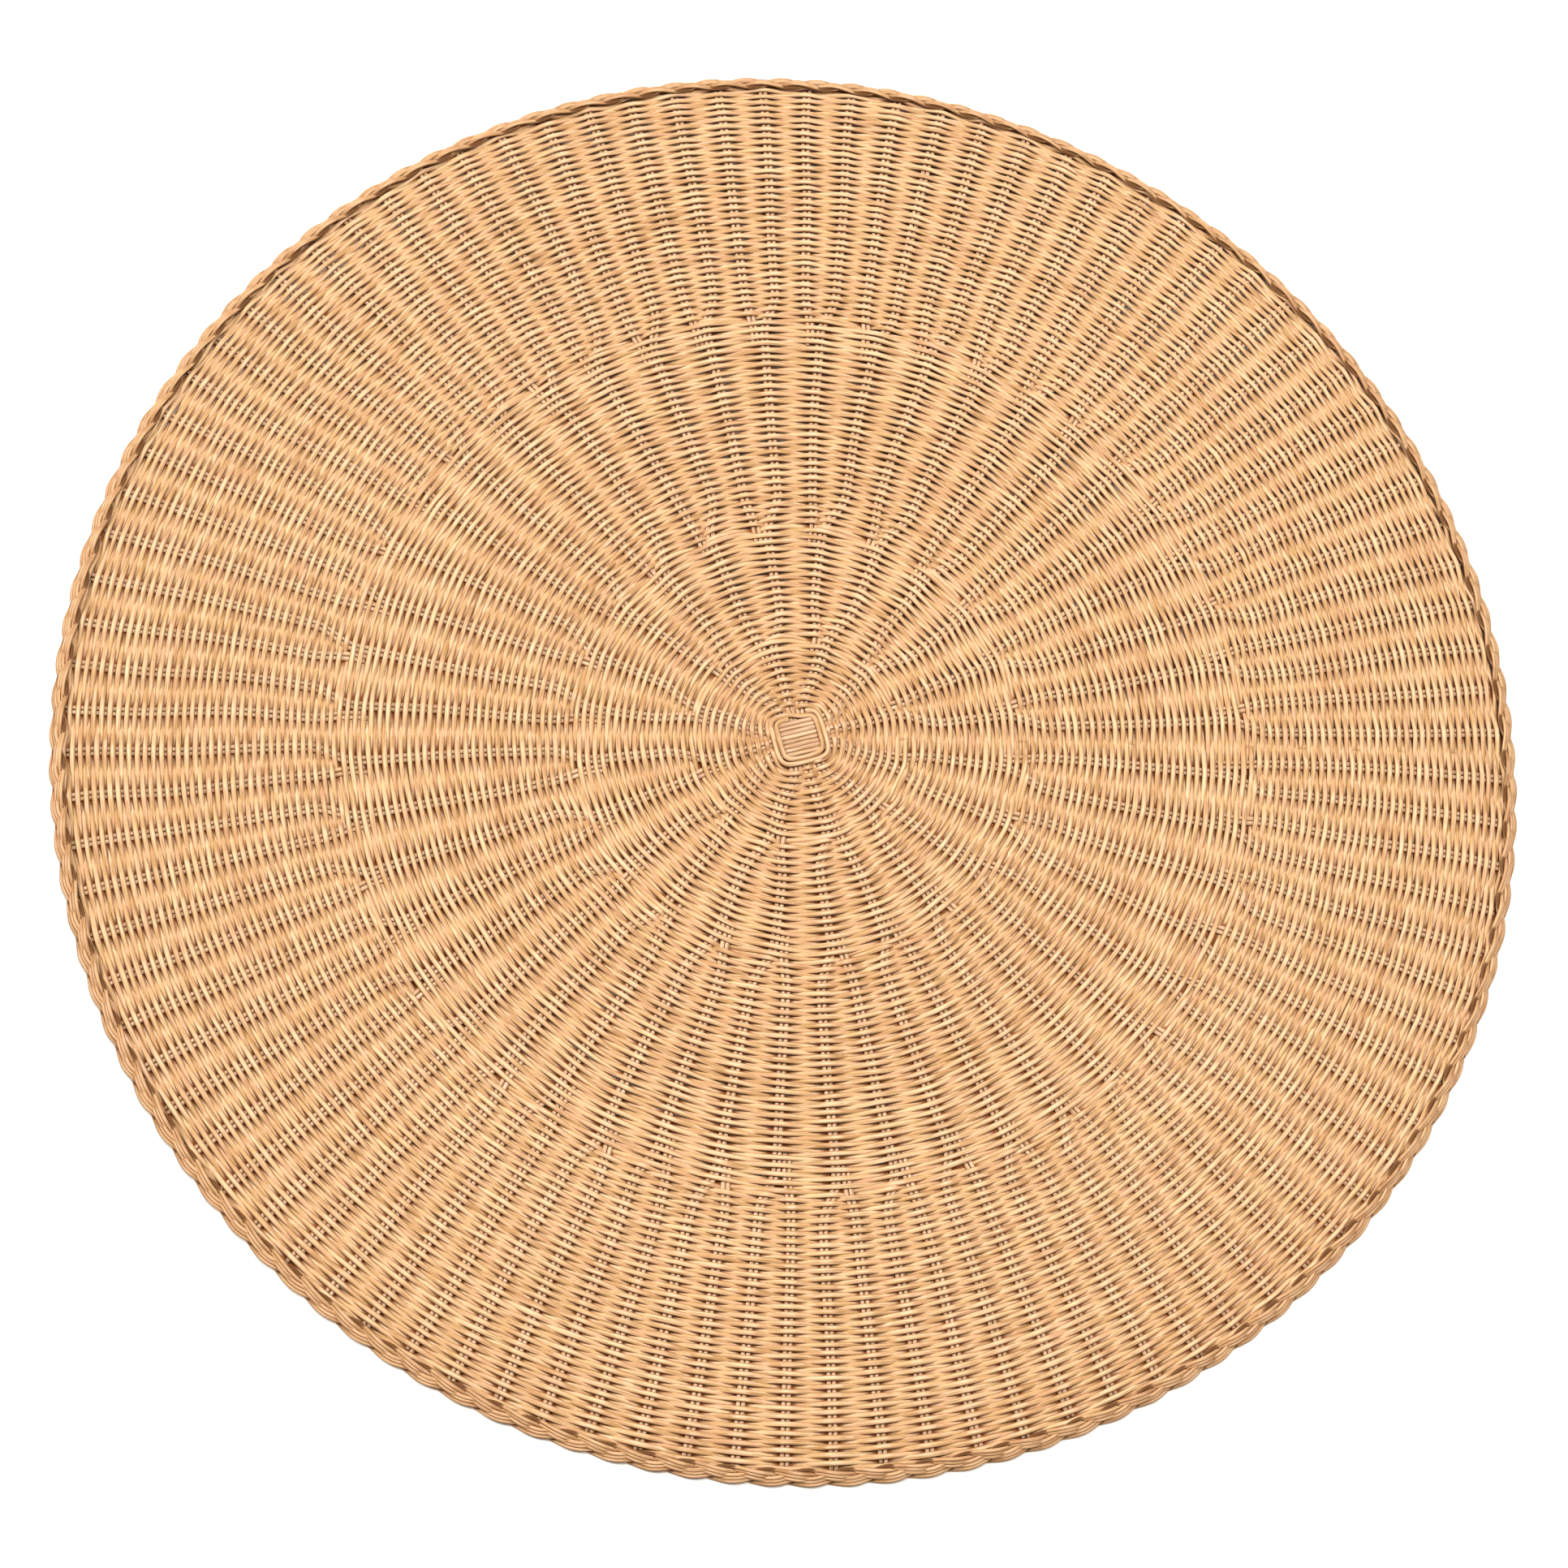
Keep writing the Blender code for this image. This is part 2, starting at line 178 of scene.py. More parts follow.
ROSY_TINT = (1.02, 0.92, 1.18)              # of the middle colour
FIBRE_TINT = (0.80, 0.80, 0.80)             # of the dark colour
SPECK_TINT = (0.45, 0.45, 0.45)             # of the dark colour
PALE_TINT = (1.08, 1.07, 1.24)              # of the light colour, for flecks and for the painted highlight on crests
HIGHLIGHT_FACING = (0.60, 1.0)                 # a painted highlight lies on a crest where it faces outwards this much
HIGHLIGHT_STRENGTH = 0.75
HIGHLIGHT_FLECKS = (0.42, 0.56)                # and mostly where the flecks' noise has reached this
HIGHLIGHT_LEAST = 0.25

# Painted shade: the cane is darker in the seams where strands touch, and where its covered side faces
# the stakes
SEAM_SHADE_TINT = (0.56, 0.27, 0.10)              # of the dark colour, for the painted shade
SEAM_SHADE_FACING = (0.05, 0.65)                  # the painted shade of the seams fades out as the strand's side turns up or down
SEAM_SHADE_DARKNESS = 0.90
OPEN_SEAM_SHADE = 0.45                            # halfway between stakes the painted shade of the seams is this dark
HIDDEN_SHADE_FACING = (-0.74, -0.50)              # painted shade on the covered side, dark where it faces away this much
HIDDEN_SHADE_DARKNESS = 0.92
PLAIT_SHADE_TINT = (0.30, 0.22, 0.15)             # painted shade in the plait's gaps, nearly black

# How the cane shines
REFRACTION = 1.48
SPECULAR_LEVEL = 0.3
SPECULAR_TINT = (1.0, 0.80, 0.58)
ROUGHNESS_SPREAD = (-0.10, 0.14)            # from the smoothest fibres to the roughest
NOISE_RANGE = (0.3, 0.7)                    # nearly all of a noise's values lie in here
PAINTED_SHADE_ROUGHNESS = 0.5                   # added where the painted shade lies
BUMP_STRENGTH = 0.5
BUMP_DEPTH = 0.00012

# The view: from the front left, looking down
VIEW_TURN = math.radians(15)                # the upper rods rise this much to the right
VIEW_SIDE = math.radians(19.7)
VIEW_TILT = math.radians(18.2)
VIEW_DISTANCE = 1.22
VIEW_SHIFT = (-0.0040, -0.0125)
LENS = 91.8

# The studio
FLOOR_HALF = 10.0
FLOOR_COLOUR = (0.90, 0.84, 0.76)
FLOOR_ROUGHNESS = 0.9
SKY_COLOUR = (1.0, 0.99, 0.97)
SKY_STRENGTH = 0.33


# ---------- helpers ----------

def smooth(share):
    share = np.clip(share, 0.0, 1.0)
    return share * share * (3 - 2 * share)


def drift(length, wavelength, size):
    """Smooth random values along a strand; `length` is the distance along it at each point."""
    knots = int(length[-1] / wavelength) + SPARE
    values = RANDOM.normal(0.0, size, knots)
    place = length / wavelength
    low = place.astype(int)
    share = smooth(place - low)
    return values[low] * (1 - share) + values[low + 1] * share


def distance_along(points):
    steps = np.linalg.norm(np.diff(points, axis=0), axis=1)
    return np.concatenate(([0.0], np.cumsum(steps)))


def lengths_of_cane(length):
    """A tone along a long strand, which is made of lengths of cane joined end to end."""
    shortest, longest = CANE_SPREAD
    count = int(length[-1] / CANE_LENGTH / shortest) + SPARE
    ends = np.cumsum(RANDOM.uniform(shortest, longest, count) * CANE_LENGTH)
    tones = RANDOM.uniform(*WEAVE_TONES, count + 1)
    return tones[np.searchsorted(ends, length)]


def dome_height(radius):
    """Height of the stakes' middle: a shallow dome that bends down at the rim."""
    rise = (CENTRE_HEIGHT - EDGE_HEIGHT) * (1 - (radius / WEAVE_RADIUS) ** 2)
    drop = RIM_DROP * smooth((radius - WEAVE_RADIUS + RIM_WIDTH) / RIM_WIDTH)
    return EDGE_HEIGHT + rise - drop


def layer_height(radius, layer):
    """Near the middle the X arms, whose layer is 1, lie above the Y arms, whose layer is -1."""
    return layer * LAYER_OFFSET * (1 - smooth((radius - LAYER_FADE) / LAYER_FADE))


def beside_line(radius, angle, offset):
    """Points in plan along a line out from the centre, at an offset to its left."""
    return np.stack((radius * np.cos(angle) - offset * np.sin(angle),
                     radius * np.sin(angle) + offset * np.cos(angle)), axis=-1)


# ---------- strands ----------

def strand_axes(points, closed):
    """Unit vectors across and above a strand at each of its points."""
    if closed:
        tangent = np.roll(points, -1, axis=0) - np.roll(points, 1, axis=0)
    else:
        tangent = np.gradient(points, axis=0)
    tangent /= np.linalg.norm(tangent, axis=1)[:, None]
    across = np.cross((0.0, 0.0, 1.0), tangent)
    across /= np.linalg.norm(across, axis=1)[:, None]
    return across, np.cross(tangent, across)


def strand_faces(count, closed):
    """The quads between a strand's rings of vertices, and the caps at its ends."""
    corner = np.arange(STRAND_SIDES)
    following = (corner + 1) % STRAND_SIDES
    ring = np.arange(count if closed else count - 1)[:, None]
    next_ring = (ring + 1) % count
    near = ring * STRAND_SIDES
    far = next_ring * STRAND_SIDES
    quads = np.stack((near + corner, near + following, far + following, far + corner), axis=-1)
    caps = [] if closed else [corner[::-1], corner + (count - 1) * STRAND_SIDES]
    return quads.reshape(-1, 4), caps


def strand(points, radius, tone, closed=False, flatness=1.0, seed=None, along=0.0, seam_shade=1.0,
           side=0.0):
    """One round strand: rings of vertices along the points, and what its material needs.

    `tone` picks its colour, the shade weight says how dark the painted shade on its flanks is, and
    `side` is 1 where its upper face lies open and -1 where that face is covered.
    """
    count = len(points)
    across, above = strand_axes(points, closed)
    turn = 2 * math.pi * np.arange(STRAND_SIDES) / STRAND_SIDES
    sideways = np.cos(turn)[:, None] * across[:, None, :]
    upwards = flatness * np.sin(turn)[:, None] * above[:, None, :]
    thickness = np.broadcast_to(radius, count)[:, None, None]
    vertices = points[:, None, :] + (sideways + upwards) * thickness
    seed = RANDOM.uniform(0.0, GRAIN_PLACES) if seed is None else seed
    grain = np.empty((count, STRAND_SIDES, 3))
    grain[:, :, 0] = np.cos(turn) + seed
    grain[:, :, 1] = np.sin(turn) + seed
    grain[:, :, 2] = ((along + distance_along(points)) / STRAND_RADIUS)[:, None]
    cane = [np.repeat(np.broadcast_to(value, count), STRAND_SIDES) for value in (tone, seam_shade, side)]
    quads, caps = strand_faces(count, closed)
    return vertices.reshape(-1, 3), quads, caps, grain.reshape(-1, 3), np.stack(cane, axis=-1)


def strand_mesh(name, strands):
    """One mesh of many strands, with "grain" and "cane" as attributes of its points."""
    vertices, grain, cane, loops, sizes = [], [], [], [], []
    first = 0
    for points, quads, caps, grain_part, cane_part in strands:
        vertices.append(points)
        grain.append(grain_part)
        cane.append(cane_part)
        loops.append((quads + first).ravel())
        sizes.append(np.full(len(quads), 4))
        for cap in caps:
            loops.append(cap + first)
            sizes.append(np.array([len(cap)]))
        first += len(points)
    vertices = np.concatenate(vertices)
    loops = np.concatenate(loops)
    sizes = np.concatenate(sizes)
    loop_starts = np.concatenate(([0], np.cumsum(sizes)[:-1]))
    mesh = bpy.data.meshes.new(name)
    mesh.vertices.add(len(vertices))
    mesh.vertices.foreach_set("co", vertices.astype(np.float32).ravel())
    mesh.loops.add(len(loops))
    mesh.loops.foreach_set("vertex_index", loops.astype(np.int32))
    mesh.polygons.add(len(sizes))
    mesh.polygons.foreach_set("loop_start", loop_starts.astype(np.int32))
    mesh.update(calc_edges=True)
    for attribute_name, values in (("grain", grain), ("cane", cane)):
        attribute = mesh.attributes.new(attribute_name, "FLOAT_VECTOR", "POINT")
        attribute.data.foreach_set("vector", np.concatenate(values).astype(np.float32).ravel())
    mesh.shade_smooth()
    return mesh


def add_piece(name, strands, material, replaced=()):
    """One object made of strands, riding on the pad's only body."""
    mesh = strand_mesh(name, strands)
    mesh.materials.append(material)
    piece = bpy.data.objects.new(name, mesh)
    bpy.context.scene.collection.objects.link(piece)
    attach(piece, "root")
    if replaced:
        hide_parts(*replaced)


# ---------- where the stakes run ----------

def group_lateral(group):
    """Distance of a group's middle from the middle of its arm, inside the cross."""
    place = (group + 1) % len(GROUP_SIZES)
    before = sum(GROUP_SIZES[:place])
    return (before + (GROUP_SIZES[place] - 1) / 2 - (RODS_EACH_WAY - 1) / 2) * CROSS_PITCH


def arm_of(group):
    """Group 0 is the middle one of the +X arm; each arm has the groups on either side of its own."""
    return ((group + 1) // len(GROUP_SIZES)) % ARMS


def make_split_radii():
    """The radius at which each pair opens, for each level after the first."""
    radii = [None]
    for level in range(1, LEVELS):
        parents = GROUPS * 2 ** (level - 1)
        spread = RANDOM.uniform(-SPLIT_SPREAD, SPLIT_SPREAD, parents)
        radii.append(SPLIT_RADII[level - 1] - OPENING_LEAD + spread)
    return radii


def make_wander():
    """Size, wavelength and phase of each pair's sideways drift, for each level."""
    wander = []
    for level in range(LEVELS):
        count = GROUPS * 2 ** level
        sizes = RANDOM.normal(0.0, STAKE_DRIFT, count)
        wavelengths = RANDOM.uniform(*WANDER_WAVELENGTHS, count)
        phases = RANDOM.uniform(0.0, 2 * math.pi, count)
        wander.append((sizes, wavelengths, phases))
    return wander


SPLITS = make_split_radii()
WANDER = make_wander()


def pair_angle(level, index, radius):
    """Angle of a pair of stakes at each radius, following it out from its group."""
    angle = np.full_like(radius, (index >> level) * GROUP_STEP)
    for depth in range(level + 1):
        place = index >> (level - depth)
        if depth == 0:
            opened = smooth((radius - WANDER_START) / WANDER_FADE)
        else:
            side = 1 if place & 1 else -1
            opened = smooth((radius - SPLITS[depth][place >> 1]) / OPENING)
            angle = angle + side * GROUP_STEP / 2 ** (depth + 1) * opened
            if side > 0:
                angle = angle + PAIR_WIDTH / radius * (1 - opened)
        size, wavelength, phase = (values[place] for values in WANDER[depth])
        angle = angle + size * opened * np.sin(2 * math.pi * radius / wavelength + phase) / radius
    return angle


def fan_point(radius, arm, lateral, angle, offset):
    """A rod's course in plan: straight along its arm, then along its radial line."""
    straight = beside_line(radius, arm * math.pi / 2, lateral)
    radial = beside_line(radius, angle, offset)
    share = smooth((radius - FAN_START) / FAN_LENGTH)[:, None]
    return straight * (1 - share) + radial * share


def spoke_table(level):
    """The angle of every pair of stakes of a level, at every radius of RADII."""
    table = []
    for index in range(GROUPS * 2 ** level):
        group = index >> level
        angle = pair_angle(level, index, RADII)
        plan = fan_point(RADII, arm_of(group), group_lateral(group), angle, 0.0)
        bearing = np.arctan2(plan[:, 1], plan[:, 0])
        table.append(angle + (bearing - angle + math.pi) % (2 * math.pi) - math.pi)
    return np.array(table)


SPOKES = [spoke_table(level) for level in range(LEVELS)]


def stakes_passed(radius, angle, level):
    """How many stakes lie between the start of a turn and each point of a row."""
    table = SPOKES[level]
    numbers = np.arange(-1, len(table) + 1)
    column = np.clip(((radius - TABLE_START) / RADIUS_STEP).astype(int), 0, len(RADII) - 2)
    share = (radius - RADII[column]) / RADIUS_STEP
    passed = np.zeros_like(radius)
    for near in np.unique(column):
        chosen = column == near
        for offset, weight in ((0, 1 - share[chosen]), (1, share[chosen])):
            stakes = table[:, near + offset]
            around = np.concatenate(([stakes[-1] - 2 * math.pi], stakes, [stakes[0] + 2 * math.pi]))
            passed[chosen] += weight * np.interp(angle[chosen], around, numbers)
    return passed


# ---------- stakes ----------

def rod_course(level, index, offsets, start):
    """Radius, angle and offset of one rod of a pair, from a radius out to the border.

    `offsets` holds the rod's place beside the pair's line, before the pair has opened and after.
    """
    radius = np.arange(start, WEAVE_END, ROD_STEP)
    angle = pair_angle(LEVELS - 1, index << (LEVELS - 1 - level), radius)
    opened = smooth((radius - SPLITS[level][index >> 1]) / OPENING)
    return radius, angle, offsets[0] * (1 - opened) + offsets[1] * opened


def lifted(plan, layer):
    radius = np.hypot(plan[:, 0], plan[:, 1])
    return np.column_stack((plan, dome_height(radius) + layer_height(radius, layer)))


def place_in_arm(rod):
    """The group of its arm that a rod belongs to, and its place in that group."""
    group, place = 0, rod
    while place >= GROUP_SIZES[group]:
        place -= GROUP_SIZES[group]
        group += 1
    return group, place


def arm_course(rod, arm):
    """One arm of a base rod, from the middle of the cross to the border.

    The first two rods of a group stay a pair.  A third one parts from them, beside a joining stake.
    """
    in_arm, place = place_in_arm(rod)
    group = (arm * len(GROUP_SIZES) + in_arm - 1) % GROUPS
    parts = place >= PAIR
    early = (place - (GROUP_SIZES[in_arm] - 1) / 2) * PITCH - (PAIR_WIDTH if parts else 0)
    late = -PITCH / 2 if parts else (place - 0.5) * PITCH
    radius, angle, offset = rod_course(1, 2 * group + parts, (early, late), ARM_START)
    lateral = (rod - (RODS_EACH_WAY - 1) / 2) * CROSS_PITCH
    return lifted(fan_point(radius, arm, lateral, angle, offset), 1 if arm % 2 == 0 else -1)


def rod_strand(points):
    thickness = ROD_RADIUS * (1 + drift(distance_along(points), *ROD_THICKNESS_DRIFT))
    return strand(points, thickness, RANDOM.uniform(*ROD_TONES))


def build_base_rods(material):
    for direction, axis in enumerate("xy"):
        for rod in range(RODS_EACH_WAY):
            behind = arm_course(RODS_EACH_WAY - 1 - rod, direction + 2)
            ahead = arm_course(rod, direction)
            points = np.concatenate((behind[::-1], ahead))
            add_piece(f"cross_rod_{axis}_{rod + 1}", [rod_strand(points)], material,
                      [f"base_rod_{axis}_{rod + 1}"])


def inserted_rods(level, parent, count=PAIR):
    """The stakes pushed in beside a pair, which part from it where it opens."""
    rods = []
    for place in range(count):
        early = (place - (count - 1) / 2) * PITCH
        late = PITCH / 2 if count == 1 else early
        hidden = GRIP - OPENING_LEAD - RANDOM.uniform(-GRIP_SPREAD, GRIP_SPREAD)
        course = rod_course(level, 2 * parent + 1, (early, late), SPLITS[level][parent] - hidden)
        rods.append(rod_strand(lifted(beside_line(*course), 0)))
    return rods


def build_inserted_stakes(material):
    """The CAD's numbers start at the first group of the +X arm, which is the one before group 0."""
    for group in range(GROUPS):
        number = (group + 1) % GROUPS
        count = 2 * PAIR - GROUP_SIZES[number % len(GROUP_SIZES)]
        add_piece(f"joining_stake_{number + 1:02d}", inserted_rods(1, group, count), material,
                  [f"stake_1_{number + 1:02d}"])
    for parent in range(2 * GROUPS):
        number = (parent + 2) % (2 * GROUPS)
        add_piece(f"second_pair_{number + 1:02d}", inserted_rods(2, parent), material,
                  [f"stake_pair_2_{number + 1:02d}"])
    rods = []
    for parent in range(4 * GROUPS):
        rods += inserted_rods(3, parent)
    add_piece("third_pairs", rods, material)


# ---------- weave ----------

def square_outline(angle, sharpness):
    """A rounded square: how far from its centre its outline is, in half widths."""
    power = np.abs(np.cos(angle)) ** sharpness + np.abs(np.sin(angle)) ** sharpness
    return power ** (-1 / sharpness)


def make_hand_waves():
    """Waves round the pad, waves outwards, phase and size of each slow wave."""
    return [(int(RANDOM.integers(*HAND_WAVES_AROUND)), RANDOM.uniform(*HAND_WAVES_OUTWARD),
             RANDOM.uniform(0, 2 * math.pi), RANDOM.uniform(*HAND_WAVE_SIZES))
            for _ in range(HAND_WAVE_COUNT)]


HAND_WAVES = make_hand_waves()


def hand_wave(radius, angle):
    """How far the rows lie off their true circles."""
    wave = np.zeros_like(radius)
    for around, outward, phase, size in HAND_WAVES:
        wave += size * np.sin(around * angle + outward * radius + phase)
    return wave * smooth(radius / HAND_FADE_IN) * smooth((WEAVE_RADIUS - radius) / HAND_FADE_OUT)


def turn_level(turn):
    """The level of stakes that a turn of the weave goes round."""
    radius = FIRST_ROW + ROW * 2 * turn
    return sum(radius > split for split in SPLIT_RADII)


def turn_samples(weaver, turn):
    """Radius, angle, stakes passed and stake spacing at each point of one turn of a weaver."""
    level = turn_level(turn)
    stakes = GROUPS * 2 ** level
    count = stakes * SAMPLES_PER_STAKE[level]
    share = np.arange(count) / count
    radius = FIRST_ROW + ROW * (weaver + 2 * turn) + 2 * ROW * share
    angle = START_ANGLE + 2 * math.pi * share
    passed = stakes_passed(radius, angle, level)
    return np.column_stack((radius, angle, passed, np.full_like(radius, 2 * math.pi / stakes)))


def row_radius(radius, angle, passed, spacing):
    """Where a row lies: squarer near the cross, straighter between stakes, and off its circle."""
    from_stake = np.abs(passed - np.round(passed)) * spacing
    pull = radius * (np.cos(spacing / 2) / np.cos(spacing / 2 - from_stake) - 1) * CHORD_PULL
    square = BINDING_HALF_WIDTH * (square_outline(angle, SQUARE_POWER) - MEAN_SQUARE)
    square = square * (1 - smooth((radius - FIRST_ROW) / SQUARE_FADE))
    return radius + square + pull + hand_wave(radius, angle)


def weaver_course(weaver):
    """The whole course of one weaving strand, and the place in it where each turn starts."""
    turns = [turn_samples(weaver, turn) for turn in range(-1, TURNS)]
    turns[0] = turns[0][turns[0][:, 0] > STRAND_START]
    starts = np.cumsum([len(turn) for turn in turns])
    radius, angle, passed, spacing = np.concatenate(turns).T
    length = distance_along(beside_line(radius, angle, 0.0))
    edge = smooth((radius - WEAVE_END) / EDGE_WIDTH + 1)
    placed = row_radius(radius, angle, passed, spacing) + drift(length, *ROW_DRIFT)
    placed = placed + EDGE_WAVE * edge * np.cos(2 * math.pi * passed)
    swing = (-1) ** weaver * np.cos(math.pi * passed)
    wave = np.arcsin(WAVE_SHARPNESS * swing) / math.asin(WAVE_SHARPNESS)
    rise = WAVE_HEIGHT * (1 + drift(length, *WAVE_HEIGHT_DRIFT)) * (1 - EDGE_SQUEEZE * edge) * wave
    height = dome_height(radius) + layer_height(radius, np.cos(2 * angle)) + rise
    points = np.column_stack((placed * np.cos(angle), placed * np.sin(angle), height))
    thickness = STRAND_RADIUS * (1 + drift(length, *STRAND_THICKNESS_DRIFT))
    return points, thickness, lengths_of_cane(length), wave, starts


def zone_turns(level):
    """The first turn of a zone, and the turn after its last."""
    turns = [turn for turn in range(TURNS) if turn_level(turn) == level]
    return turns[0], turns[-1] + 1


def weaver_part(course, first, last):
    """The strand of one weaver from one turn to another."""
    points, thickness, tones, wave, starts = course
    part = slice(starts[first] if first else 0, starts[last] + 1)
    # Weight of the painted shade in the seams, strongest at the stakes; the wave places the painted
    # shade on covered faces
    seam_shade = OPEN_SEAM_SHADE + (1 - OPEN_SEAM_SHADE) * np.abs(wave[part])
    return strand(points[part], thickness[part], tones[part], flatness=STRAND_FLATNESS, seed=0.0,
                  along=distance_along(points)[part.start], seam_shade=seam_shade, side=wave[part])


def build_weave(material):
    courses = [weaver_course(weaver) for weaver in (0, 1)]
    for level in range(LEVELS):
        bands = np.linspace(*zone_turns(level), BANDS[level] + 1).round().astype(int)
        for number, (first, last) in enumerate(zip(bands, bands[1:])):
            rows = [weaver_part(course, first, last) for course in courses]
            add_piece(f"woven_rows_{level + 1}_{number + 1}", rows, material,
                      [f"weave_zone_{level + 1}"])


# ---------- binding ----------

def binding_coil(side):
    """A strand wound round the cross: over the upper arms and down to the lower ones, or below both."""
    turns = np.linspace(0, BINDING_TURNS, int(BINDING_SAMPLES * BINDING_TURNS))
    angle = BINDING_START + 2 * math.pi * turns
    steps_out = np.floor(turns) + smooth((turns % 1 - 1) / BINDING_STEP_SHARE + 1)
    half_width = CROSS_HALF_WIDTH + BINDING_RADIUS + BINDING_STEP * steps_out
    radius = half_width * square_outline(angle, BINDING_POWER) + drift(turns, *BINDING_DRIFT)
    height = CENTRE_HEIGHT + side * BINDING_LIFT + LAYER_OFFSET * np.cos(2 * angle)
    points = np.column_stack((radius * np.cos(angle), radius * np.sin(angle), height))
    return strand(points, BINDING_RADIUS, RANDOM.uniform(*BINDING_TONES), flatness=STRAND_FLATNESS)


def build_binding(material):
    coils = [binding_coil(side) for side in (1, -1)]
    add_piece("binding_strands", coils, material, ["centre_binding"])


# ---------- border ----------

def plait_rod(strand_number, place):
    """One rod of one strand of the plait round the edge."""
    angle = np.linspace(0, 2 * math.pi, PLAIT_WAVES * PLAIT_SAMPLES, endpoint=False)
    phase = PLAIT_WAVES * angle + 2 * math.pi * strand_number / PLAIT_STRANDS
    slope = PLAIT_SWING * PLAIT_WAVES / PLAIT_CENTRE_RADIUS * np.cos(phase)
    beside = place * PLAIT_ROD_STEP / np.sqrt(1 + slope ** 2)
    sideways = PLAIT_SWING * np.sin(phase) + beside
    lift = PLAIT_LIFT * np.sin(2 * phase)
    along = angle - beside * slope / PLAIT_CENTRE_RADIUS
    radius = PLAIT_CENTRE_RADIUS + sideways * math.cos(PLAIT_TILT) + lift * math.sin(PLAIT_TILT)
    height = PLAIT_CENTRE_HEIGHT - sideways * math.sin(PLAIT_TILT) + lift * math.cos(PLAIT_TILT)
    points = np.column_stack((radius * np.cos(along), radius * np.sin(along), height))
    thickness = PLAIT_ROD_RADIUS * RANDOM.uniform(*PLAIT_ROD_SPREAD)
    tone = RANDOM.uniform(*PLAIT_ROD_TONES)
    # The side value places painted shade where a rod dives and a painted highlight where it rises
    return strand(points, thickness, tone, closed=True, side=-PLAIT_PAINTED_SHADE_AND_HIGHLIGHT * np.sin(2 * phase))


def build_border(material):
    for number in range(PLAIT_STRANDS):
        rods = [plait_rod(number, place) for place in (-1, 0, 1)]
        add_piece(f"plait_strand_{number + 1}", rods, material, ["rolled_border"])


# ---------- materials ----------

class Nodes:
    """Short ways to add a material's shader nodes and to link them."""

    def __init__(self, material):
        material.use_nodes = True
        self.tree = material.node_tree
        self.shader = self.tree.nodes["Principled BSDF"].inputs

    def feed(self, socket, value):
        """Link another node's output to a socket, or set the socket to a number or a colour."""
        if isinstance(value, bpy.types.NodeSocket):
            self.tree.links.new(value, socket)
        elif isinstance(value, tuple):
            socket.default_value = (*value, 1.0)
        else:
            socket.default_value = value

    def attribute(self, name):
        node = self.tree.nodes.new("ShaderNodeAttribute")
        node.attribute_name = name
        return node.outputs["Vector"]

    def parts(self, vector):
        node = self.tree.nodes.new("ShaderNodeSeparateXYZ")
        self.feed(node.inputs["Vector"], vector)
        return node.outputs

    def noise(self, grain, mark):
        mapping = self.tree.nodes.new("ShaderNodeMapping")
        mapping.inputs["Scale"].default_value = mark.scale
        self.feed(mapping.inputs["Vector"], grain)
        texture = self.tree.nodes.new("ShaderNodeTexNoise")
        self.feed(texture.inputs["Scale"], 1.0)
        self.feed(texture.inputs["Detail"], mark.detail)
        self.feed(texture.inputs["Vector"], mapping.outputs["Vector"])
        return texture.outputs["Fac"]

    def ranged(self, value, start, end, low, high):
        """The range from start to end, mapped to the one from low to high and held there."""
        node = self.tree.nodes.new("ShaderNodeMapRange")
        self.feed(node.inputs["Value"], value)
        self.feed(node.inputs["From Min"], start)
        self.feed(node.inputs["From Max"], end)
        self.feed(node.inputs["To Min"], low)
        self.feed(node.inputs["To Max"], high)
        return node.outputs["Result"]

    def shown(self, mark, noise):
        """How strongly a mark shows."""
        return self.ranged(noise, mark.start, mark.end, 0.0, mark.strength)

    def maths(self, operation, *values):
        node = self.tree.nodes.new("ShaderNodeMath")
        node.operation = operation
        for socket, value in zip(node.inputs, values):
            self.feed(socket, value)
        return node.outputs["Value"]

    def mixed(self, factor, first, second):
        node = self.tree.nodes.new("ShaderNodeMix")
        node.data_type = "RGBA"
        self.feed(node.inputs["Factor"], factor)
        self.feed(node.inputs["A"], first)
        self.feed(node.inputs["B"], second)
        return node.outputs["Result"]

    def ramp(self, factor, dark, middle, light):
        node = self.tree.nodes.new("ShaderNodeValToRGB")
        node.color_ramp.elements[0].color = (*dark, 1.0)
        node.color_ramp.elements[1].color = (*light, 1.0)
        node.color_ramp.elements.new(0.5).color = (*middle, 1.0)
        self.feed(node.inputs["Fac"], factor)
        return node.outputs["Color"]

    def bump(self, height):
        node = self.tree.nodes.new("ShaderNodeBump")
        self.feed(node.inputs["Strength"], BUMP_STRENGTH)
        self.feed(node.inputs["Distance"], BUMP_DEPTH)
        self.feed(node.inputs["Height"], height)
        return node.outputs["Normal"]


def tinted(colour, tint):
    return tuple(value * gain for value, gain in zip(colour, tint))


def cane_tones(nodes, grain, tone, dark, middle, light):
    """The colour of each length of cane, with its slow patches and its rosy stretches."""
    patches = nodes.ranged(nodes.noise(grain, PATCHES), PATCHES.start, PATCHES.end, -0.5, 0.5)
    patched = nodes.maths("MULTIPLY_ADD", patches, PATCHES.strength, tone)
    rosy = nodes.shown(ROSES, nodes.noise(grain, ROSES))
    return nodes.mixed(rosy, nodes.ramp(patched, dark, middle, light), tinted(middle, ROSY_TINT))


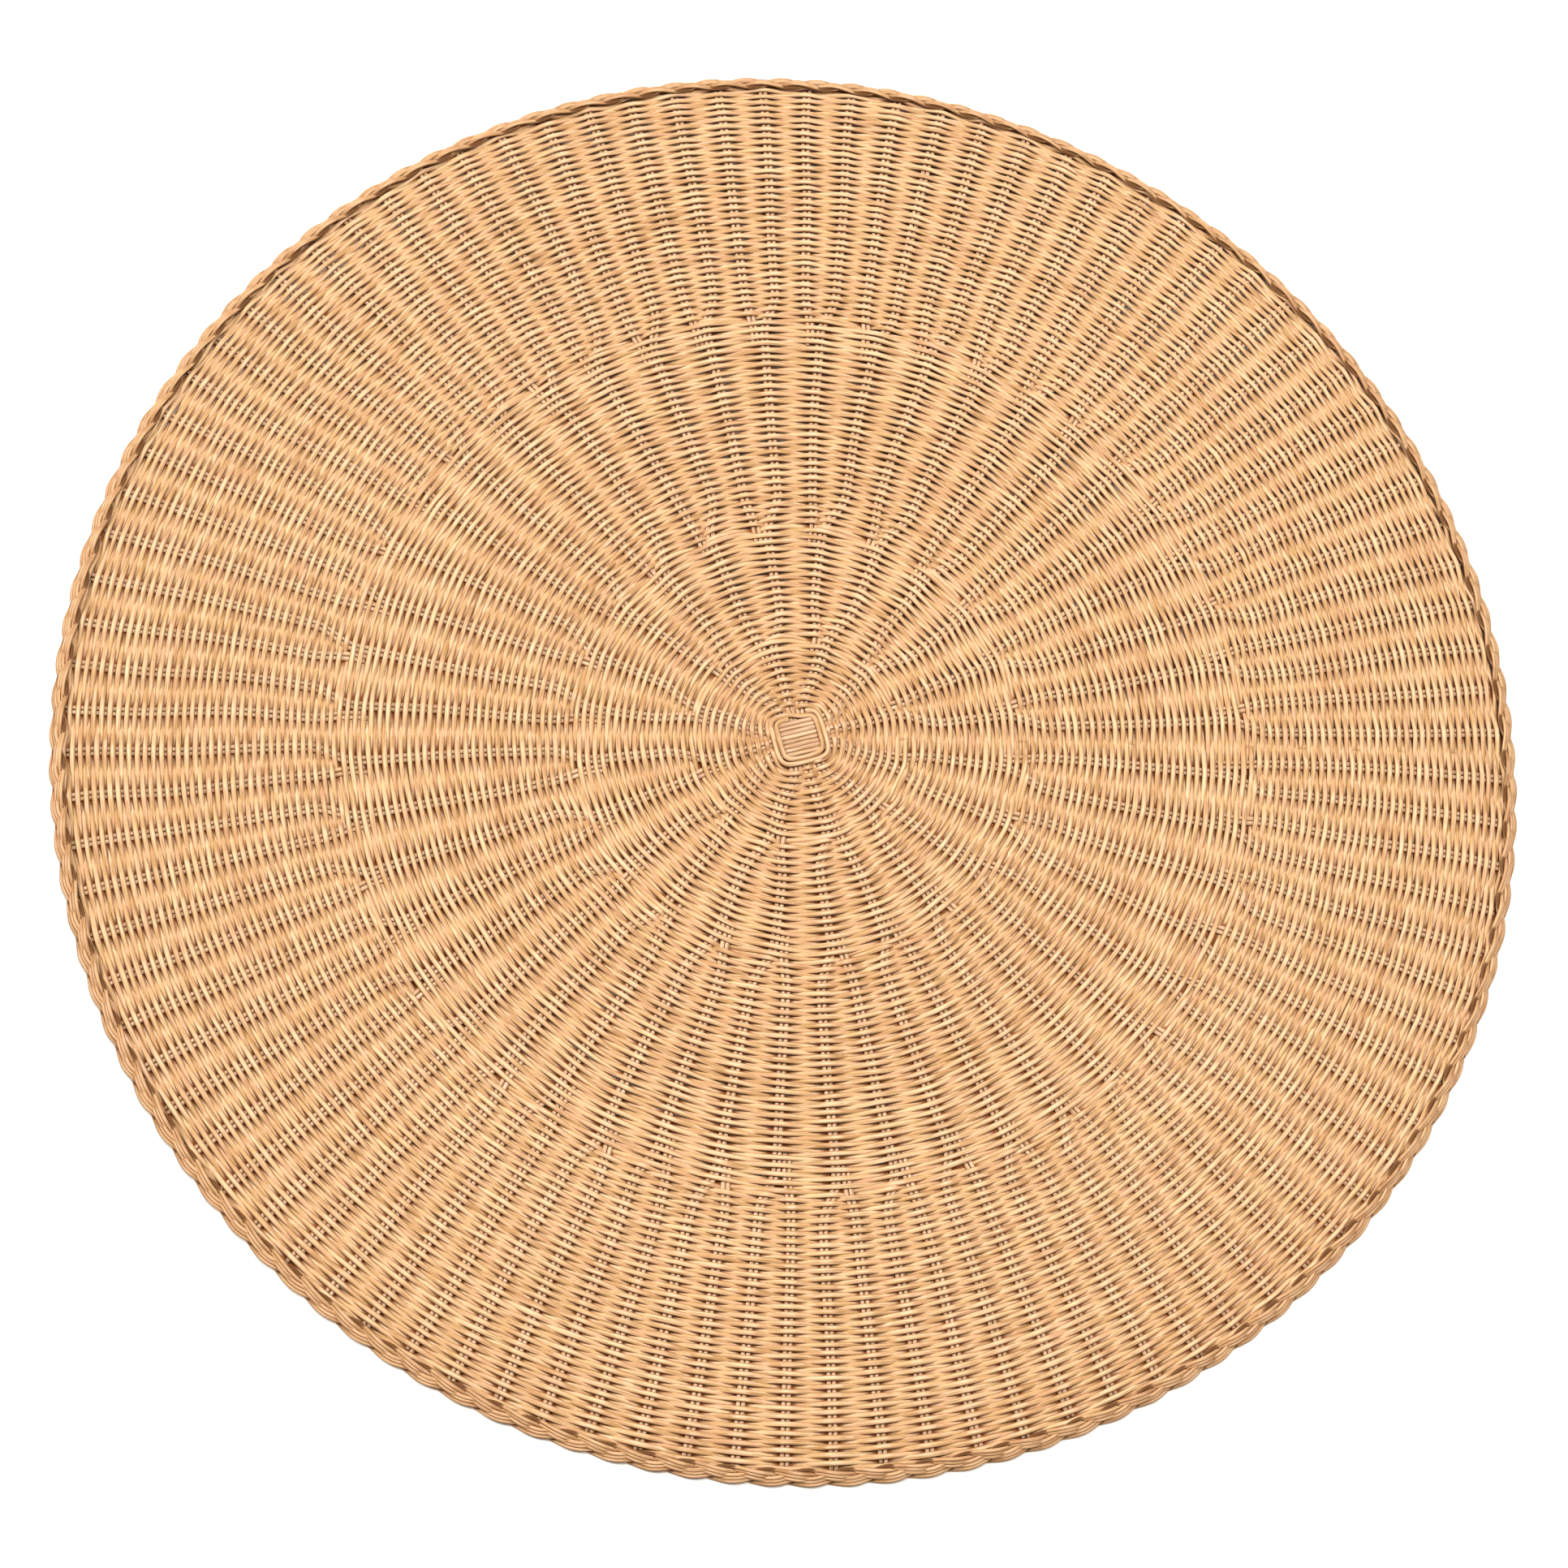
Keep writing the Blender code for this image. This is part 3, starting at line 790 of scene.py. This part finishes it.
def marked(nodes, grain, colour, exposed, dark, light):
    """The colour with pale flecks, a painted highlight on the crests, and small dark specks."""
    pale = tinted(light, PALE_TINT)
    flecks = nodes.noise(grain, FLECKS)
    flecked = nodes.mixed(nodes.shown(FLECKS, flecks), colour, pale)
    # Painted highlight: crests that face outwards from the weave are made pale
    crest = nodes.ranged(exposed, *HIGHLIGHT_FACING, 0.0, HIGHLIGHT_STRENGTH)
    painted_highlight = nodes.maths("MULTIPLY", crest, nodes.ranged(flecks, *HIGHLIGHT_FLECKS, HIGHLIGHT_LEAST, 1.0))
    highlighted = nodes.mixed(painted_highlight, flecked, pale)
    specks = nodes.shown(SPECKS, nodes.noise(grain, SPECKS))
    return nodes.mixed(specks, highlighted, tinted(dark, SPECK_TINT))


def paint_shade(nodes, facing_up, exposed, seam_shade_depth):
    """Painted shade and dullness: in the cane's seams, and where its covered side shows."""
    upright = nodes.maths("ABSOLUTE", facing_up)
    seam_shade = nodes.ranged(upright, *SEAM_SHADE_FACING, SEAM_SHADE_DARKNESS, 0.0)
    hidden = nodes.ranged(exposed, *HIDDEN_SHADE_FACING, HIDDEN_SHADE_DARKNESS, 0.0)
    return nodes.maths("MAXIMUM", nodes.maths("MULTIPLY", seam_shade, seam_shade_depth), hidden)


def rattan(name, dark, middle, light, roughness, seam_shade_tint=SEAM_SHADE_TINT):
    """Round cane: fibres along the strand, tones that differ from length to length."""
    material = bpy.data.materials.new(name)
    nodes = Nodes(material)
    grain = nodes.attribute("grain")
    tone, seam_shade_depth, side = nodes.parts(nodes.attribute("cane"))
    geometry = nodes.tree.nodes.new("ShaderNodeNewGeometry")
    facing_up = nodes.parts(geometry.outputs["Normal"])["Z"]
    # How far a face looks out of the weave: it places the painted highlight and the painted shade
    exposed = nodes.maths("MULTIPLY", facing_up, side)
    fibres = nodes.noise(grain, FIBRES)

    colour = cane_tones(nodes, grain, tone, dark, middle, light)
    colour = nodes.mixed(nodes.shown(FIBRES, fibres), colour, tinted(dark, FIBRE_TINT))
    colour = marked(nodes, grain, colour, exposed, dark, light)
    shade_amount = paint_shade(nodes, facing_up, exposed, seam_shade_depth)
    smoother, rougher = ROUGHNESS_SPREAD
    polished = nodes.ranged(fibres, *NOISE_RANGE, roughness + smoother, roughness + rougher)
    dulled = nodes.maths("MULTIPLY_ADD", shade_amount, PAINTED_SHADE_ROUGHNESS, polished)

    # Painted shade mixed into the base colour
    nodes.feed(nodes.shader["Base Color"], nodes.mixed(shade_amount, colour, tinted(dark, seam_shade_tint)))
    nodes.feed(nodes.shader["Roughness"], dulled)
    nodes.feed(nodes.shader["Normal"], nodes.bump(fibres))
    nodes.feed(nodes.shader["IOR"], REFRACTION)
    nodes.feed(nodes.shader["Specular IOR Level"], SPECULAR_LEVEL)
    nodes.feed(nodes.shader["Specular Tint"], SPECULAR_TINT)
    return material


def woven_cane():
    return rattan("woven_cane", dark=(0.400, 0.210, 0.080), middle=(0.550, 0.333, 0.152),
                  light=(0.625, 0.418, 0.222), roughness=0.38)


def stake_cane():
    return rattan("stake_cane", dark=(0.410, 0.235, 0.112), middle=(0.520, 0.325, 0.168),
                  light=(0.600, 0.415, 0.243), roughness=0.42)


def border_cane():
    return rattan("border_cane", dark=(0.310, 0.145, 0.052), middle=(0.430, 0.230, 0.094),
                  light=(0.525, 0.318, 0.150), roughness=0.38, seam_shade_tint=PLAIT_SHADE_TINT)


def pale_floor():
    material = bpy.data.materials.new("pale_floor")
    nodes = Nodes(material)
    nodes.feed(nodes.shader["Base Color"], FLOOR_COLOUR)
    nodes.feed(nodes.shader["Roughness"], FLOOR_ROUGHNESS)
    return material


# ---------- studio ----------

def build_floor():
    half = FLOOR_HALF
    mesh = bpy.data.meshes.new("floor")
    corners = [(-half, -half, 0.0), (half, -half, 0.0), (half, half, 0.0), (-half, half, 0.0)]
    mesh.from_pydata(corners, [], [(0, 1, 2, 3)])
    mesh.materials.append(pale_floor())
    floor = bpy.data.objects.new("floor", mesh)
    bpy.context.scene.collection.objects.link(floor)


def add_light(name, location, size, power):
    """A square lamp that faces the middle of the pad."""
    light = bpy.data.lights.new(name, "AREA")
    light.shape = "SQUARE"
    light.size = size
    light.energy = power
    item = bpy.data.objects.new(name, light)
    item.location = location
    item.rotation_euler = (-Vector(location)).to_track_quat("-Z", "Y").to_euler()
    bpy.context.scene.collection.objects.link(item)


def build_lights():
    add_light("key_light", location=(-2.4, 1.6, 2.6), size=1.0, power=112.0)
    add_light("top_light", location=(0.3, 0.1, 2.2), size=1.0, power=64.0)
    world = bpy.data.worlds.new("studio")
    bpy.context.scene.world = world
    world.use_nodes = True
    background = world.node_tree.nodes["Background"]
    background.inputs["Color"].default_value = (*SKY_COLOUR, 1.0)
    background.inputs["Strength"].default_value = SKY_STRENGTH
    bpy.context.scene.view_settings.view_transform = "Standard"


def build_camera():
    turn = Matrix.Rotation(-VIEW_TURN - VIEW_SIDE, 3, "Z")
    tilt = Matrix.Rotation(VIEW_TILT, 3, "X")
    roll = Matrix.Rotation(VIEW_SIDE, 3, "Z")
    rotation = turn @ tilt @ roll
    camera = bpy.data.objects.new("camera", bpy.data.cameras.new("camera"))
    camera.data.lens = LENS
    camera.data.clip_end = 2 * FLOOR_HALF
    centre = Vector((0.0, 0.0, EDGE_HEIGHT))
    camera.location = centre + rotation @ Vector((*VIEW_SHIFT, VIEW_DISTANCE))
    camera.rotation_euler = rotation.to_euler()
    bpy.context.scene.collection.objects.link(camera)
    bpy.context.scene.camera = camera


weave_material = woven_cane()
stake_material = stake_cane()
border_material = border_cane()
build_base_rods(stake_material)
build_inserted_stakes(stake_material)
build_binding(weave_material)
build_weave(weave_material)
build_border(border_material)
build_floor()
build_lights()
build_camera()
